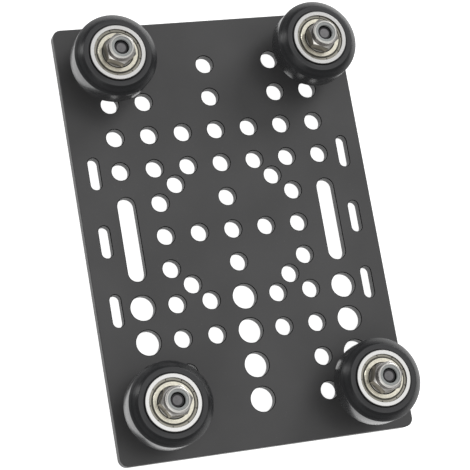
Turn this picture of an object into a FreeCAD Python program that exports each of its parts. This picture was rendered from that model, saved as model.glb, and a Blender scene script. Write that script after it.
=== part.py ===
import FreeCAD, Part
import math
import os

# Gantry plate for V-groove rail: a drilled plate that carries four grooved-rail wheels.
# Millimetres. X is across the rail, Y is along the travel, Z points from the plate to the wheels.
# The origin is under the plate's centre, in the plane that the four screw heads rest on.

# Hole grid in the plate: three columns each side of the middle, five rows each end of it
column_pitch = 10.15
row_pitch = 10.0
inner_row = 9.75
diagonal_offset = 14.83
long_slot_length = 24.6
tie_slot_inset = 5.9
tie_slot_width = 3.2
tie_slot_length = 9.4
tie_slot_pitch = 20.0

# Plate
side_margin = 13.55
end_margin = 13.5
plate_thickness = 3.0
corner_radius = 2.5
edge_break = 0.2

# Low-head socket screws
screw_diameter = 5.0
screw_end_bevel = 0.7
screw_end_recess = 1.0
head_diameter = 9.2
head_height = 2.0
head_rounding = 0.4
socket_across_flats = 3.0
socket_depth = 1.2

# Spacers between plate and bearings
spacer_length = 6.35
round_spacer_diameter = 10.0
round_spacer_bevel = 0.3
eccentric_across_flats = 10.0
eccentric_boss_diameter = 7.12
eccentric_boss_recess = 0.5
eccentric_offset = 0.79
left_eccentric_angle = 153.0
right_eccentric_angle = 262.0

# Ball bearings
bearing_width = 5.0
bearing_diameter = 16.0
ring_bevel = 0.15
ball_diameter = 2.75
groove_depth = 0.5
shield_seat_wall = 1.2
shield_seat_depth = 0.75
ball_count = 7
cage_radial_width = 0.6
cage_web_thickness = 0.5
cage_wall = 0.18
shim_thickness = 1.0
shim_inset = 0.15

# Bearing shields
shield_thickness = 0.25
shield_face_recess = 0.15
shield_step_inset = 0.35
shield_gap = 0.2
shield_notch_count = 9
shield_notch_width = 0.28
shield_notch_depth = 0.45

# Wheels
wheel_diameter = 23.9
wheel_width = 10.23
tread_width = 5.89
bevel_angle = 45.0
bore_mouth_bevel = 0.4
rib_height = 0.8

# Lock nuts
nut_across_flats = 8.0
nut_height = 4.8
nut_hex_height = 3.4
nut_corner_angle = 30.0
collar_diameter = 7.1
collar_wall = 0.6
collar_rounding = 0.25
insert_height = 1.15
insert_face_recess = 0.12
insert_mouth_diameter = 4.3

# How each corner's nut and shields happen to stand, in degrees about their axis
nut_angles = {"top_left": 35.0, "top_right": 38.0, "bottom_left": 2.0, "bottom_right": 10.0}
shield_angles = {"top_left": 21.0, "top_right": 39.0, "bottom_left": 20.0, "bottom_right": 16.0}

# Running and seating clearances, each on the radius
bolt_hole_clearance = 0.1
boss_clearance = 0.04
spacer_bore_clearance = 0.05
ring_bore_clearance = 0.02
thread_clearance = 0.02
press_seat_clearance = 0.01
ball_clearance = 0.06

# Sizes that follow from the ones above
screw_radius = screw_diameter / 2
plate_width = 2 * (3 * column_pitch + side_margin)
plate_length = 2 * (5 * row_pitch + end_margin)
small_hole_radius = screw_radius + bolt_hole_clearance
large_hole_radius = eccentric_boss_diameter / 2 + boss_clearance
slot_column = 3 * column_pitch
tie_slot_column = plate_width / 2 - tie_slot_inset
wheel_column = 3 * column_pitch
wheel_row = 5 * row_pitch

plate_bottom = head_height
plate_top = plate_bottom + plate_thickness
stack_bottom = plate_top + spacer_length
wheel_middle = stack_bottom + bearing_width + shim_thickness / 2
upper_bearing_bottom = wheel_middle + shim_thickness / 2
stack_top = upper_bearing_bottom + bearing_width
nut_top = stack_top + nut_height
screw_top = nut_top - screw_end_recess

bearing_radius = bearing_diameter / 2
ball_radius = ball_diameter / 2
race_radius = (screw_radius + bearing_radius) / 2
shoulder_radius = race_radius - ball_radius + groove_depth
land_radius = race_radius + ball_radius - groove_depth
shield_seat_radius = bearing_radius - shield_seat_wall
groove_radius = ball_radius + ball_clearance
shim_radius = shoulder_radius - shim_inset

up = FreeCAD.Vector(0, 0, 1)


def point(radius, height):
    """A point of a turned profile, at a radius from the Z axis and a height along it."""
    return FreeCAD.Vector(radius, 0, height)


def turned(edges):
    """The solid that a closed profile of edges sweeps about the Z axis."""
    profile = Part.Face(Part.Wire(edges))
    return profile.revolve(FreeCAD.Vector(0, 0, 0), up, 360)


def lines(points):
    """Straight edges from each point to the next."""
    return [Part.makeLine(start, end) for start, end in zip(points, points[1:])]


def turned_polygon(corners):
    """A turned solid whose profile is a polygon, given as (radius, height) corners."""
    points = [point(radius, height) for radius, height in corners]
    return turned(lines(points + points[:1]))


def cylinder(radius, bottom, top, x=0.0, y=0.0):
    """An upright cylinder between two heights."""
    return Part.makeCylinder(radius, top - bottom, FreeCAD.Vector(x, y, bottom))


def hexagon(across_flats, bottom, top):
    """An upright hexagonal prism between two heights, with a corner on the X axis."""
    corner_distance = across_flats / 2 / math.cos(math.radians(30))
    corners = [
        FreeCAD.Vector(corner_distance, 0, bottom),
    ]
    turn = FreeCAD.Rotation(up, 60)
    for _ in range(6):
        corners.append(turn.multVec(corners[-1]))
    return Part.Face(Part.makePolygon(corners)).extrude(up * (top - bottom))


def moved(shape, x, y, z, turn=0.0):
    """A copy of a shape, turned about the Z axis and then moved."""
    copy = shape.copy()
    move = FreeCAD.Placement(FreeCAD.Vector(x, y, z), FreeCAD.Rotation(up, turn))
    copy.Placement = move.multiply(shape.Placement)
    return copy


def slot_cutter(x, y, width, length, bottom, top):
    """A round-ended cutter that runs along Y."""
    radius = width / 2
    reach = length / 2 - radius
    middle = Part.makeBox(width, 2 * reach, top - bottom, FreeCAD.Vector(x - radius, y - reach, bottom))
    ends = [cylinder(radius, bottom, top, x, y + side * reach) for side in (-1, 1)]
    return middle.fuse(ends)


def hole_places():
    """The centres of the small and the large holes in the plate, as two lists."""
    small = [(side * wheel_column, wheel_row) for side in (-1, 1)]
    large = [(side * wheel_column, -wheel_row) for side in (-1, 1)]
    # Rows counted from the middle, each with its columns counted from the middle.
    small_columns = {
        5: (-2, 0, 2),
        4: (-3, -2, 0, 2, 3),
        3: (-3, -2, -1, 0, 1, 2, 3),
        2: (-3, -2, -1, 0, 1, 2, 3),
        0: (-2, -1, 0, 1, 2),
        -2: (-2, -1, 1, 2),
        -3: (-2, -1, 1, 2),
        -4: (-2, 2),
        -5: (-2, 2),
    }
    large_columns = {
        -2: (-3, 0, 3),
        -3: (-3, 0, 3),
        -4: (-3, 0, 3),
        -5: (0,),
    }
    for places, pattern in ((small, small_columns), (large, large_columns)):
        for row, columns in pattern.items():
            places.extend((column * column_pitch, row * row_pitch) for column in columns)
    for side in (-1, 1):
        small.extend((column * column_pitch, side * inner_row) for column in (-2, 0, 2))
        small.extend((end * diagonal_offset, side * diagonal_offset) for end in (-1, 1))
    return small, large


def make_plate():
    """The flat plate with its grid of holes and slots."""
    slab = Part.makeBox(
        plate_width,
        plate_length,
        plate_thickness,
        FreeCAD.Vector(-plate_width / 2, -plate_length / 2, plate_bottom),
    )
    corners = [edge for edge in slab.Edges if edge.BoundBox.ZLength > plate_thickness / 2]
    slab = slab.makeFillet(corner_radius, corners)
    rims = [edge for edge in slab.Edges if edge.BoundBox.ZLength < plate_thickness / 2]
    slab = slab.makeChamfer(edge_break, rims)

    bottom = plate_bottom - plate_thickness
    top = plate_top + plate_thickness
    small, large = hole_places()
    cutters = [cylinder(small_hole_radius, bottom, top, x, y) for x, y in small]
    cutters += [cylinder(large_hole_radius, bottom, top, x, y) for x, y in large]
    for side in (-1, 1):
        cutters.append(slot_cutter(side * slot_column, 0, 2 * small_hole_radius, long_slot_length, bottom, top))
        for step in (-1, 0, 1):
            place = (side * tie_slot_column, step * tie_slot_pitch)
            cutters.append(slot_cutter(*place, tie_slot_width, tie_slot_length, bottom, top))
    return slab.cut(cutters)


def make_screw():
    """A low-head socket screw that points up, with its head at the bottom."""
    head_radius = head_diameter / 2
    start = point(head_radius - head_rounding, 0)
    end = point(head_radius, head_rounding)
    diagonal = head_rounding * (1 - math.sqrt(0.5))
    middle = point(head_radius - diagonal, diagonal)
    outline = [
        end,
        point(head_radius, head_height),
        point(screw_radius, head_height),
        point(screw_radius, screw_top - screw_end_bevel),
        point(screw_radius - screw_end_bevel, screw_top),
        point(0, screw_top),
        point(0, 0),
        start,
    ]
    body = turned([Part.Arc(start, middle, end).toShape()] + lines(outline))
    socket = hexagon(socket_across_flats, -socket_depth, socket_depth)
    drill_tip = Part.makeCone(
        socket_across_flats / 2, 0, socket_across_flats / 6, FreeCAD.Vector(0, 0, socket_depth)
    )
    return body.cut([socket, drill_tip])


def make_round_spacer():
    """The plain spacer under a fixed wheel."""
    outer = round_spacer_diameter / 2
    inner = screw_radius + spacer_bore_clearance
    bevel = round_spacer_bevel
    return turned_polygon([
        (inner, plate_top),
        (outer - bevel, plate_top),
        (outer, plate_top + bevel),
        (outer, stack_bottom - bevel),
        (outer - bevel, stack_bottom),
        (inner, stack_bottom),
    ])


def make_eccentric_spacer():
    """The hexagonal spacer whose boss turns in the plate, centred on the boss, bore towards +X."""
    corner_radius_of_hex = eccentric_across_flats / 2 / math.cos(math.radians(30))
    flat_radius = eccentric_across_flats / 2
    drop = (corner_radius_of_hex - flat_radius) * math.tan(math.radians(nut_corner_angle))
    body = hexagon(eccentric_across_flats, plate_top, stack_bottom)
    turned_blank = turned_polygon([
        (0, plate_top),
        (flat_radius, plate_top),
        (corner_radius_of_hex, plate_top + drop),
        (corner_radius_of_hex, stack_bottom - drop),
        (flat_radius, stack_bottom),
        (0, stack_bottom),
    ])
    boss = cylinder(eccentric_boss_diameter / 2, plate_bottom + eccentric_boss_recess, plate_top)
    bore_radius = screw_radius + spacer_bore_clearance
    bore = cylinder(bore_radius, plate_bottom, stack_bottom + spacer_length, eccentric_offset)
    return body.common(turned_blank).fuse(boss).cut(bore).removeSplitter()


def groove_edges(wall_radius, outward):
    """The ball groove of a ring's profile, as one arc that runs up, and its two ends.

    The arc bulges away from the axis where outward is 1 and towards it where outward is -1.
    """
    middle_height = bearing_width / 2
    half_reach = math.sqrt(groove_radius**2 - (wall_radius - race_radius) ** 2)
    low = point(wall_radius, middle_height - half_reach)
    high = point(wall_radius, middle_height + half_reach)
    deepest = point(race_radius + outward * groove_radius, middle_height)
    return low, Part.Arc(low, deepest, high).toShape(), high


def make_outer_ring():
    """A bearing's outer ring, from height 0, with a seat for a shield at each face."""
    outer = bearing_radius
    land = land_radius
    seat = shield_seat_radius
    low, groove, high = groove_edges(land, 1)
    around = [
        high,
        point(land, bearing_width - shield_seat_depth),
        point(seat, bearing_width - shield_seat_depth),
        point(seat, bearing_width),
        point(outer - ring_bevel, bearing_width),
        point(outer, bearing_width - ring_bevel),
        point(outer, ring_bevel),
        point(outer - ring_bevel, 0),
        point(seat, 0),
        point(seat, shield_seat_depth),
        point(land, shield_seat_depth),
        low,
    ]
    return turned([groove] + lines(around))


def make_inner_ring():
    """A bearing's inner ring, from height 0."""
    bore = screw_radius + ring_bore_clearance
    shoulder = shoulder_radius
    low, groove, high = groove_edges(shoulder, -1)
    around = [
        high,
        point(shoulder, bearing_width - ring_bevel),
        point(shoulder - ring_bevel, bearing_width),
        point(bore + ring_bevel, bearing_width),
        point(bore, bearing_width - ring_bevel),
        point(bore, ring_bevel),
        point(bore + ring_bevel, 0),
        point(shoulder - ring_bevel, 0),
        point(shoulder, ring_bevel),
        low,
    ]
    return turned([groove] + lines(around))


def around_race(shape):
    """Copies of a shape, one for each ball of a bearing."""
    step = 360 / ball_count
    return [moved(shape, 0, 0, 0, index * step) for index in range(ball_count)]


def make_balls():
    """The balls of one bearing, as separate solids."""
    ball = Part.makeSphere(ball_radius, FreeCAD.Vector(race_radius, 0, bearing_width / 2))
    return around_race(ball)


def make_cage():
    """The ribbon cage of one bearing: a thin web with a round pocket about each ball."""
    inner = race_radius - cage_radial_width / 2
    outer = race_radius + cage_radial_width / 2
    pocket_radius = ball_radius + ball_clearance
    outwards = FreeCAD.Vector(1, 0, 0)
    middle = FreeCAD.Vector(race_radius, 0, bearing_width / 2)
    web_bottom = (bearing_width - cage_web_thickness) / 2
    web_top = (bearing_width + cage_web_thickness) / 2
    web = cylinder(outer, web_bottom, web_top).cut(cylinder(inner, web_bottom, web_top))
    tube = cylinder(outer, 0, bearing_width).cut(cylinder(inner, 0, bearing_width))
    shell = Part.makeSphere(pocket_radius + cage_wall, middle, outwards).common(tube)
    pocket = Part.makeSphere(pocket_radius, middle, outwards)
    return web.fuse(around_race(shell)).cut(around_race(pocket))


def make_upper_shield():
    """The shield in a bearing's upper face: a notched rim in the seat and a raised flat disc."""
    seat_height = bearing_width - shield_seat_depth
    face_height = bearing_width - shield_face_recess
    rim = shield_seat_radius - press_seat_clearance
    step = land_radius - shield_step_inset
    edge = shoulder_radius + shield_gap
    shield = turned_polygon([
        (rim, seat_height),
        (rim, seat_height + shield_thickness),
        (step, seat_height + shield_thickness),
        (step, face_height),
        (edge, face_height),
        (edge, face_height - shield_thickness),
        (step - shield_thickness, face_height - shield_thickness),
        (step - shield_thickness, seat_height),
    ])
    notch = Part.makeBox(
        2 * shield_notch_depth,
        shield_notch_width,
        bearing_width,
        FreeCAD.Vector(rim - shield_notch_depth, -shield_notch_width / 2, 0),
    )
    turn = 360 / shield_notch_count
    return shield.cut([moved(notch, 0, 0, 0, index * turn) for index in range(shield_notch_count)])


def make_shields():
    """The two shields of one bearing, as separate solids."""
    upper = make_upper_shield()
    lower = upper.mirror(FreeCAD.Vector(0, 0, bearing_width / 2), up)
    return [upper, lower]


def make_shim():
    """The washer that keeps the two inner rings apart."""
    return turned_polygon([
        (screw_radius + spacer_bore_clearance, 0),
        (shim_radius, 0),
        (shim_radius, shim_thickness),
        (screw_radius + spacer_bore_clearance, shim_thickness),
    ])


def make_wheel():
    """The grooved-rail wheel about its middle plane: a flat tread between two bevels."""
    half_width = wheel_width / 2
    half_tread = tread_width / 2
    half_rib = shim_thickness / 2
    tread = wheel_diameter / 2
    face = tread - (half_width - half_tread) / math.tan(math.radians(bevel_angle))
    seat = bearing_radius + press_seat_clearance
    upper = [
        (seat - rib_height, half_rib),
        (seat, half_rib),
        (seat, half_width - bore_mouth_bevel),
        (seat + bore_mouth_bevel, half_width),
        (face, half_width),
        (tread, half_tread),
    ]
    lower = [(radius, -height) for radius, height in reversed(upper)]
    return turned_polygon(upper + lower)


def make_lock_nut():
    """The hexagonal lock nut from height 0, with a round collar that holds its insert."""
    flat_radius = nut_across_flats / 2
    corner_distance = flat_radius / math.cos(math.radians(30))
    drop = (corner_distance - flat_radius) * math.tan(math.radians(nut_corner_angle))
    blank = turned_polygon([
        (0, 0),
        (flat_radius, 0),
        (corner_distance, drop),
        (corner_distance, nut_hex_height - drop),
        (flat_radius, nut_hex_height),
        (0, nut_hex_height),
    ])
    collar_radius = collar_diameter / 2
    collar = turned_polygon([
        (0, nut_hex_height - drop),
        (collar_radius, nut_hex_height - drop),
        (collar_radius, nut_height - collar_rounding),
        (collar_radius - collar_rounding, nut_height),
        (0, nut_height),
    ])
    pocket_bottom = nut_height - insert_face_recess - insert_height
    pocket = cylinder(collar_radius - collar_wall, pocket_bottom, nut_height + insert_height)
    bore = cylinder(screw_radius + thread_clearance, -insert_height, nut_height)
    return hexagon(nut_across_flats, 0, nut_hex_height).common(blank).fuse(collar).cut([pocket, bore])


def make_nut_insert():
    """The soft ring in the lock nut's collar, drawn in over the end of the screw."""
    outer = collar_diameter / 2 - collar_wall - press_seat_clearance
    bottom = nut_height - insert_face_recess - insert_height
    top = nut_height - insert_face_recess
    lip = nut_height - screw_end_recess + thread_clearance
    inner = screw_radius + thread_clearance
    return turned_polygon([
        (inner, bottom),
        (outer, bottom),
        (outer, top),
        (insert_mouth_diameter / 2, top),
        (insert_mouth_diameter / 2, lip),
        (inner, lip),
    ])


def station_pieces(name, x, y, eccentric_angle):
    """Every piece that one wheel needs, placed at the hole at x, y, by node name."""
    pieces = {}
    if eccentric_angle is None:
        axis_x, axis_y = x, y
        pieces["spacer"] = moved(make_round_spacer(), x, y, 0)
    else:
        axis_x = x + eccentric_offset * math.cos(math.radians(eccentric_angle))
        axis_y = y + eccentric_offset * math.sin(math.radians(eccentric_angle))
        pieces["eccentric_spacer"] = moved(make_eccentric_spacer(), x, y, 0, eccentric_angle)

    def on_axis(shape, height, turn=0.0):
        return moved(shape, axis_x, axis_y, height, turn)

    def group(solids, heights, turn=0.0):
        return Part.makeCompound([on_axis(solid, height, turn) for height in heights for solid in solids])

    bearings = {"lower": stack_bottom, "upper": upper_bearing_bottom}
    pieces["screw"] = on_axis(make_screw(), 0, nut_angles[name])
    pieces["wheel"] = on_axis(make_wheel(), wheel_middle)
    pieces["shim"] = on_axis(make_shim(), stack_bottom + bearing_width)
    pieces["lock_nut"] = on_axis(make_lock_nut(), stack_top, nut_angles[name])
    pieces["nut_insert"] = on_axis(make_nut_insert(), stack_top)
    pieces["balls"] = group(balls, bearings.values())
    pieces["ball_cages"] = group([cage], bearings.values())
    for level, height in bearings.items():
        pieces[level + "_outer_ring"] = on_axis(outer_ring, height)
        pieces[level + "_inner_ring"] = on_axis(inner_ring, height)
        pieces[level + "_shields"] = group(shields, [height], shield_angles[name])
    return {name + "_" + piece: shape for piece, shape in pieces.items()}


# Bearing pieces that every wheel repeats
balls = make_balls()
cage = make_cage()
shields = make_shields()
outer_ring = make_outer_ring()
inner_ring = make_inner_ring()

# The whole object, by node name
nodes = {"plate": make_plate()}
stations = (
    ("top_left", -wheel_column, wheel_row, None),
    ("top_right", wheel_column, wheel_row, None),
    ("bottom_left", -wheel_column, -wheel_row, left_eccentric_angle),
    ("bottom_right", wheel_column, -wheel_row, right_eccentric_angle),
)
for name, x, y, eccentric_angle in stations:
    nodes.update(station_pieces(name, x, y, eccentric_angle))

os.makedirs("parts", exist_ok=True)
for name, shape in nodes.items():
    shape.exportStep("parts/" + name + ".step")
print(len(nodes), "nodes,", sum(len(shape.Solids) for shape in nodes.values()), "solids")
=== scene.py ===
"""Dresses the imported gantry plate: a black drilled plate with four bevelled wheels.

Sizes in the classes are millimetres. Blender's own units are metres, so every size passes through MM.
"""

from __future__ import annotations

import logging
import math
from collections.abc import Callable, Iterator, Sequence
from contextlib import contextmanager
from dataclasses import dataclass
from enum import Enum

import bmesh
import bpy
from mathutils import Matrix, Vector


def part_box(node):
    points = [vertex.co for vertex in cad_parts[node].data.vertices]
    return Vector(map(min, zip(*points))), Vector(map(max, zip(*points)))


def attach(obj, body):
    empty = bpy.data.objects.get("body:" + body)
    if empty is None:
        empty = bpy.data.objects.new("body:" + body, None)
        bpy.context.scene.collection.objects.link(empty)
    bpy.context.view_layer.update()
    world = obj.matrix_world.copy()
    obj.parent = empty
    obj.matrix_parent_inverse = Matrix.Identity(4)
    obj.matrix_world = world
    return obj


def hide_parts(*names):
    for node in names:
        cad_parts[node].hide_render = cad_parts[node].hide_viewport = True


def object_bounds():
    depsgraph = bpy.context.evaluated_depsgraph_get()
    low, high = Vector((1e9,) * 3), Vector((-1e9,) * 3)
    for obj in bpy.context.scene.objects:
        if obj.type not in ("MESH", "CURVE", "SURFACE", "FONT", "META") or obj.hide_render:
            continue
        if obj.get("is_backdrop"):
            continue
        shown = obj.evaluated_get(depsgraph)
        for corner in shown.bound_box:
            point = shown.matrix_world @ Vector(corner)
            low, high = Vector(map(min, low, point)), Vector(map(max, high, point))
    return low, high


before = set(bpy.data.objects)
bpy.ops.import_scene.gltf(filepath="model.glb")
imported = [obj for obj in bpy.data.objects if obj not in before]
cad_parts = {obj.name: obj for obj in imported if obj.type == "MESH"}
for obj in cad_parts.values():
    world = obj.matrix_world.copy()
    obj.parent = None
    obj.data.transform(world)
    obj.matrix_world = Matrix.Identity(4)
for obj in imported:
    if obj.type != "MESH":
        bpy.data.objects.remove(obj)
CAD_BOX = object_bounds()

MM = 0.001
# Millimetres: how far apart two equal places may be, and how far a cutter reaches past what it cuts.
SAME = 0.001
BEYOND = 1.0
# The Z part of a normal: below the first a face is upright, above the second it is level.
UPRIGHT, LEVEL = 0.2, 0.95
# A rounding in three corners has its middle corner at this share of the radius.
ROUNDING_SHARE = 0.3
# Most values of a noise texture lie in this range.
NOISE = (0.3, 0.7)
OWN_PLACE = "own_place"
LOG = logging.getLogger("gantry_plate")

Colour = tuple[float, float, float]
Corner = tuple[float, float]
Piece = bpy.types.Object
Material = bpy.types.Material
Socket = bpy.types.NodeSocket
Test = Callable[[Vector, Vector], bool]
Surface = tuple[Socket, Socket, Socket]


class Level(Enum):
    """The two bearings in a wheel, named as the frame names them."""

    LOWER = "lower"
    UPPER = "upper"


class Ends(Enum):
    """How a turned profile ends."""

    JOINED = "the last corner joins the first"
    CAPPED = "a flat cap at each end"
    OPEN = "nothing at either end"


class Spacing(Enum):
    """What stands between the plate and a wheel's bearings."""

    ROUND = "spacer"
    ECCENTRIC = "eccentric_spacer"


class Cut(Enum):
    """How one piece shapes another."""

    AWAY = "DIFFERENCE"
    ONTO = "UNION"
    COMMON = "INTERSECT"


class Part(Enum):
    """What is selected in edit mode."""

    FACES = "FACE"
    EDGES = "EDGE"


# Modelling by hand, in small steps


def clear_selection() -> None:
    """Leaves edit mode and deselects everything."""
    if bpy.context.object and bpy.context.object.mode != "OBJECT":
        bpy.ops.object.mode_set(mode="OBJECT")
    bpy.ops.object.select_all(action="DESELECT")


def activate(piece: Piece) -> None:
    """Makes a piece the only selected one."""
    clear_selection()
    piece.select_set(True)
    bpy.context.view_layer.objects.active = piece


@contextmanager
def editing(piece: Piece) -> Iterator[None]:
    """Opens a piece in edit mode with everything selected, and closes it again."""
    activate(piece)
    bpy.ops.object.mode_set(mode="EDIT")
    bpy.ops.mesh.select_all(action="SELECT")
    yield
    bpy.ops.object.mode_set(mode="OBJECT")


def added(name: str) -> Piece:
    """Names the piece that was just added and returns it."""
    piece = bpy.context.object
    piece.name = name
    return piece


def pick(piece: Piece, part: Part, wanted: Test) -> None:
    """Selects faces or edges of a piece in edit mode.

    Args:
        piece: The object that is being edited.
        part: What is selected.
        wanted: Takes a face's middle and normal, or the places of an edge's two ends, in millimetres.
    """
    bpy.ops.mesh.select_mode(type=part.value)
    bpy.ops.mesh.select_all(action="DESELECT")
    mesh = bmesh.from_edit_mesh(piece.data)
    if part is Part.FACES:
        facts = [(face, face.calc_center_median() / MM, face.normal) for face in mesh.faces]
    else:
        facts = [(edge, edge.verts[0].co / MM, edge.verts[1].co / MM) for edge in mesh.edges]
    for item, first, second in facts:
        if wanted(first, second):
            item.select_set(True)
    bmesh.update_edit_mesh(piece.data)


def outward_faces(merge_distance: float = 0.0002) -> None:
    """Merges doubled points of the mesh in edit mode and turns every face outwards.

    Args:
        merge_distance: How near two points are merged, in millimetres.
    """
    bpy.ops.mesh.select_all(action="SELECT")
    bpy.ops.mesh.remove_doubles(threshold=merge_distance * MM)
    bpy.ops.mesh.normals_make_consistent(inside=False)


def turned_shell(name: str, profile: Sequence[Corner], segments: int, ends: Ends = Ends.JOINED) -> Piece:
    """Draws a ring of points along a profile, as on a lathe.

    Args:
        name: The new piece's name.
        profile: (radius, height) corners in millimetres.
        segments: Points round the ring.
        ends: How the profile ends.

    Returns:
        The turned object, about the Z axis.
    """
    clear_selection()
    radius, height = profile[0]
    bpy.ops.mesh.primitive_circle_add(vertices=segments, radius=radius * MM)
    piece = added(name)
    with editing(piece):
        bpy.ops.transform.translate(value=(0, 0, height * MM))
        if ends is Ends.CAPPED:
            bpy.ops.mesh.edge_face_add()
        path = list(profile[1:]) + (list(profile[:1]) if ends is Ends.JOINED else [])
        for next_radius, next_height in path:
            rise = (0, 0, (next_height - height) * MM)
            bpy.ops.mesh.extrude_region_move(TRANSFORM_OT_translate={"value": rise})
            ratio = next_radius / radius
            bpy.ops.transform.resize(value=(ratio, ratio, 1), center_override=(0, 0, 0))
            radius, height = next_radius, next_height
        if ends is not Ends.OPEN:
            outward_faces()
    return piece


def mirrored(upper: list[Corner], total: float) -> list[Corner]:
    """Completes the upper half of a profile with its mirror image.

    Args:
        upper: (radius, height) corners in millimetres.
        total: The sum of a corner's height and that of its image.

    Returns:
        The corners of both halves.
    """
    return upper + [(radius, total - height) for radius, height in reversed(upper)]


def hexagon_bar(name: str, across_flats: float, bottom: float, top: float) -> Piece:
    """Makes an upright hexagonal bar with a corner on the X axis.

    Args:
        name: The new piece's name.
        across_flats: Its width across flats, in millimetres.
        bottom: The height of its lower face.
        top: The height of its upper face.

    Returns:
        The bar.
    """
    clear_selection()
    radius = corner_radius(across_flats) * MM
    bpy.ops.mesh.primitive_cylinder_add(vertices=6, radius=radius, depth=(top - bottom) * MM)
    piece = added(name)
    with editing(piece):
        # A new cylinder has its first corner on the Y axis.
        bpy.ops.transform.rotate(value=math.radians(30), orient_axis="Z", center_override=(0, 0, 0))
        bpy.ops.transform.translate(value=(0, 0, (bottom + top) / 2 * MM))
    return piece


def apply_modifier(piece: Piece, kind: str, **settings: object) -> None:
    """Adds a modifier to a piece and applies it.

    Args:
        piece: The piece to change.
        kind: The modifier's type.
        settings: The modifier's own settings.
    """
    activate(piece)
    bpy.ops.object.modifier_add(type=kind)
    modifier = piece.modifiers[-1]
    for key, value in settings.items():
        setattr(modifier, key, value)
    bpy.ops.object.modifier_apply(modifier=modifier.name)


def combine(piece: Piece, tool: Piece, cut: Cut) -> None:
    """Cuts, joins or trims a piece with another one, which is used up.

    Args:
        piece: The piece that stays.
        tool: The other piece.
        cut: What the tool does to it.
    """
    apply_modifier(piece, "BOOLEAN", operation=cut.value, solver="EXACT", object=tool)
    bpy.data.objects.remove(tool)


def break_edges(piece: Piece, width: float, steps: int = 1) -> None:
    """Takes the sharpness off every edge that turns by 30 degrees or more.

    Args:
        piece: The piece to finish.
        width: The bevel's width in millimetres.
        steps: Steps across the bevel.
    """
    limit = math.radians(30)
    apply_modifier(piece, "BEVEL", width=width * MM, segments=steps, limit_method="ANGLE", angle_limit=limit)


def smooth(piece: Piece, angle: float = 30.0) -> None:
    """Shades a piece smooth except across its edges, and keeps each point's own place for turned marks.

    Args:
        piece: The finished piece, still about the Z axis.
        angle: Faces that meet at more than this many degrees keep their edge.
    """
    activate(piece)
    bpy.ops.object.shade_smooth_by_angle(angle=math.radians(angle))
    places = piece.data.attributes.new(OWN_PLACE, "FLOAT_VECTOR", "POINT")
    places.data.foreach_set("vector", [value for vertex in piece.data.vertices for value in vertex.co])
    clear_selection()


def corner_radius(across_flats: float) -> float:
    """The distance of a hexagon's corners from its axis."""
    return across_flats / 2 / math.cos(math.radians(30))


def chamfer_drop(across_flats: float, angle: float) -> float:
    """How far a chamfer at an angle in degrees reaches down a hexagon's corners."""
    return (corner_radius(across_flats) - across_flats / 2) * math.tan(math.radians(angle))


def chamfered_hexagon(
    name: str, across_flats: float, heights: tuple[float, float], angles: tuple[float, float], segments: int
) -> Piece:
    """Makes an upright hexagonal bar whose corners are chamfered at both ends.

    Args:
        name: The new piece's name.
        across_flats: Its width across flats, in millimetres.
        heights: The heights of its lower and upper face.
        angles: The slopes of its lower and upper chamfer, in degrees.
        segments: Points round the chamfers.

    Returns:
        The bar.
    """
    bottom, top = heights
    lower, upper = (chamfer_drop(across_flats, angle) for angle in angles)
    flat = across_flats / 2
    # The chamfer's circle stays just inside the flats, because a cut isn't reliable where two faces only touch.
    inside, edge, outside = flat - 0.2, flat - 0.01, corner_radius(across_flats) + 0.02
    profile = [(inside, bottom), (edge, bottom), (outside, bottom + lower)]
    profile += [(outside, top - upper), (edge, top), (inside, top)]
    blank = turned_shell(name + "_blank", profile, segments, Ends.CAPPED)
    bar = hexagon_bar(name, across_flats, bottom, top)
    combine(bar, blank, Cut.COMMON)
    return bar


def placed_copy(master: Piece, name: str, place: Sequence[float], turn: float = 0.0) -> Piece:
    """Copies a finished piece with its own mesh and puts the place into the mesh.

    Args:
        master: The piece as it was modelled, about the origin.
        name: The copy's name.
        place: Where it goes, in millimetres.
        turn: How far it turns about the Z axis, in degrees.

    Returns:
        The copy.
    """
    copy = master.copy()
    copy.data = master.data.copy()
    copy.name = copy.data.name = name
    copy.data.transform(Matrix.Translation(Vector(place) * MM) @ Matrix.Rotation(math.radians(turn), 4, "Z"))
    bpy.context.scene.collection.objects.link(copy)
    return copy


def join(piece: Piece, others: Sequence[Piece]) -> None:
    """Joins other pieces to one, without cutting them.

    Args:
        piece: The piece that stays.
        others: The pieces that go into it.
    """
    activate(piece)
    for other in others:
        other.select_set(True)
    bpy.ops.object.join()


def coat(piece: Piece, finish: Material, *others: tuple[Material, Test]) -> None:
    """Gives a modelled piece its finish, and some of its faces another one.

    Args:
        piece: The piece to coat.
        finish: Its main finish.
        others: Further finishes, each with a test that takes a face's middle in millimetres and its normal.
    """
    piece.data.materials.append(finish)
    for index, (other, wanted) in enumerate(others, start=1):
        piece.data.materials.append(other)
        for face in piece.data.polygons:
            if wanted(face.center / MM, face.normal):
                face.material_index = index


def seat(piece: Piece, body: str, node: str, slot: str) -> None:
    """Gives a finished piece its place in the frame.

    Args:
        piece: The piece to seat.
        body: The body that it moves with.
        node: The CAD node that it stands for.
        slot: The record's material slot. It is not used.
    """
    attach(piece, body)
    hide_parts(node)
    LOG.info("%s stands for %s on %s", piece.name, node, body)


# Finishes


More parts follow.
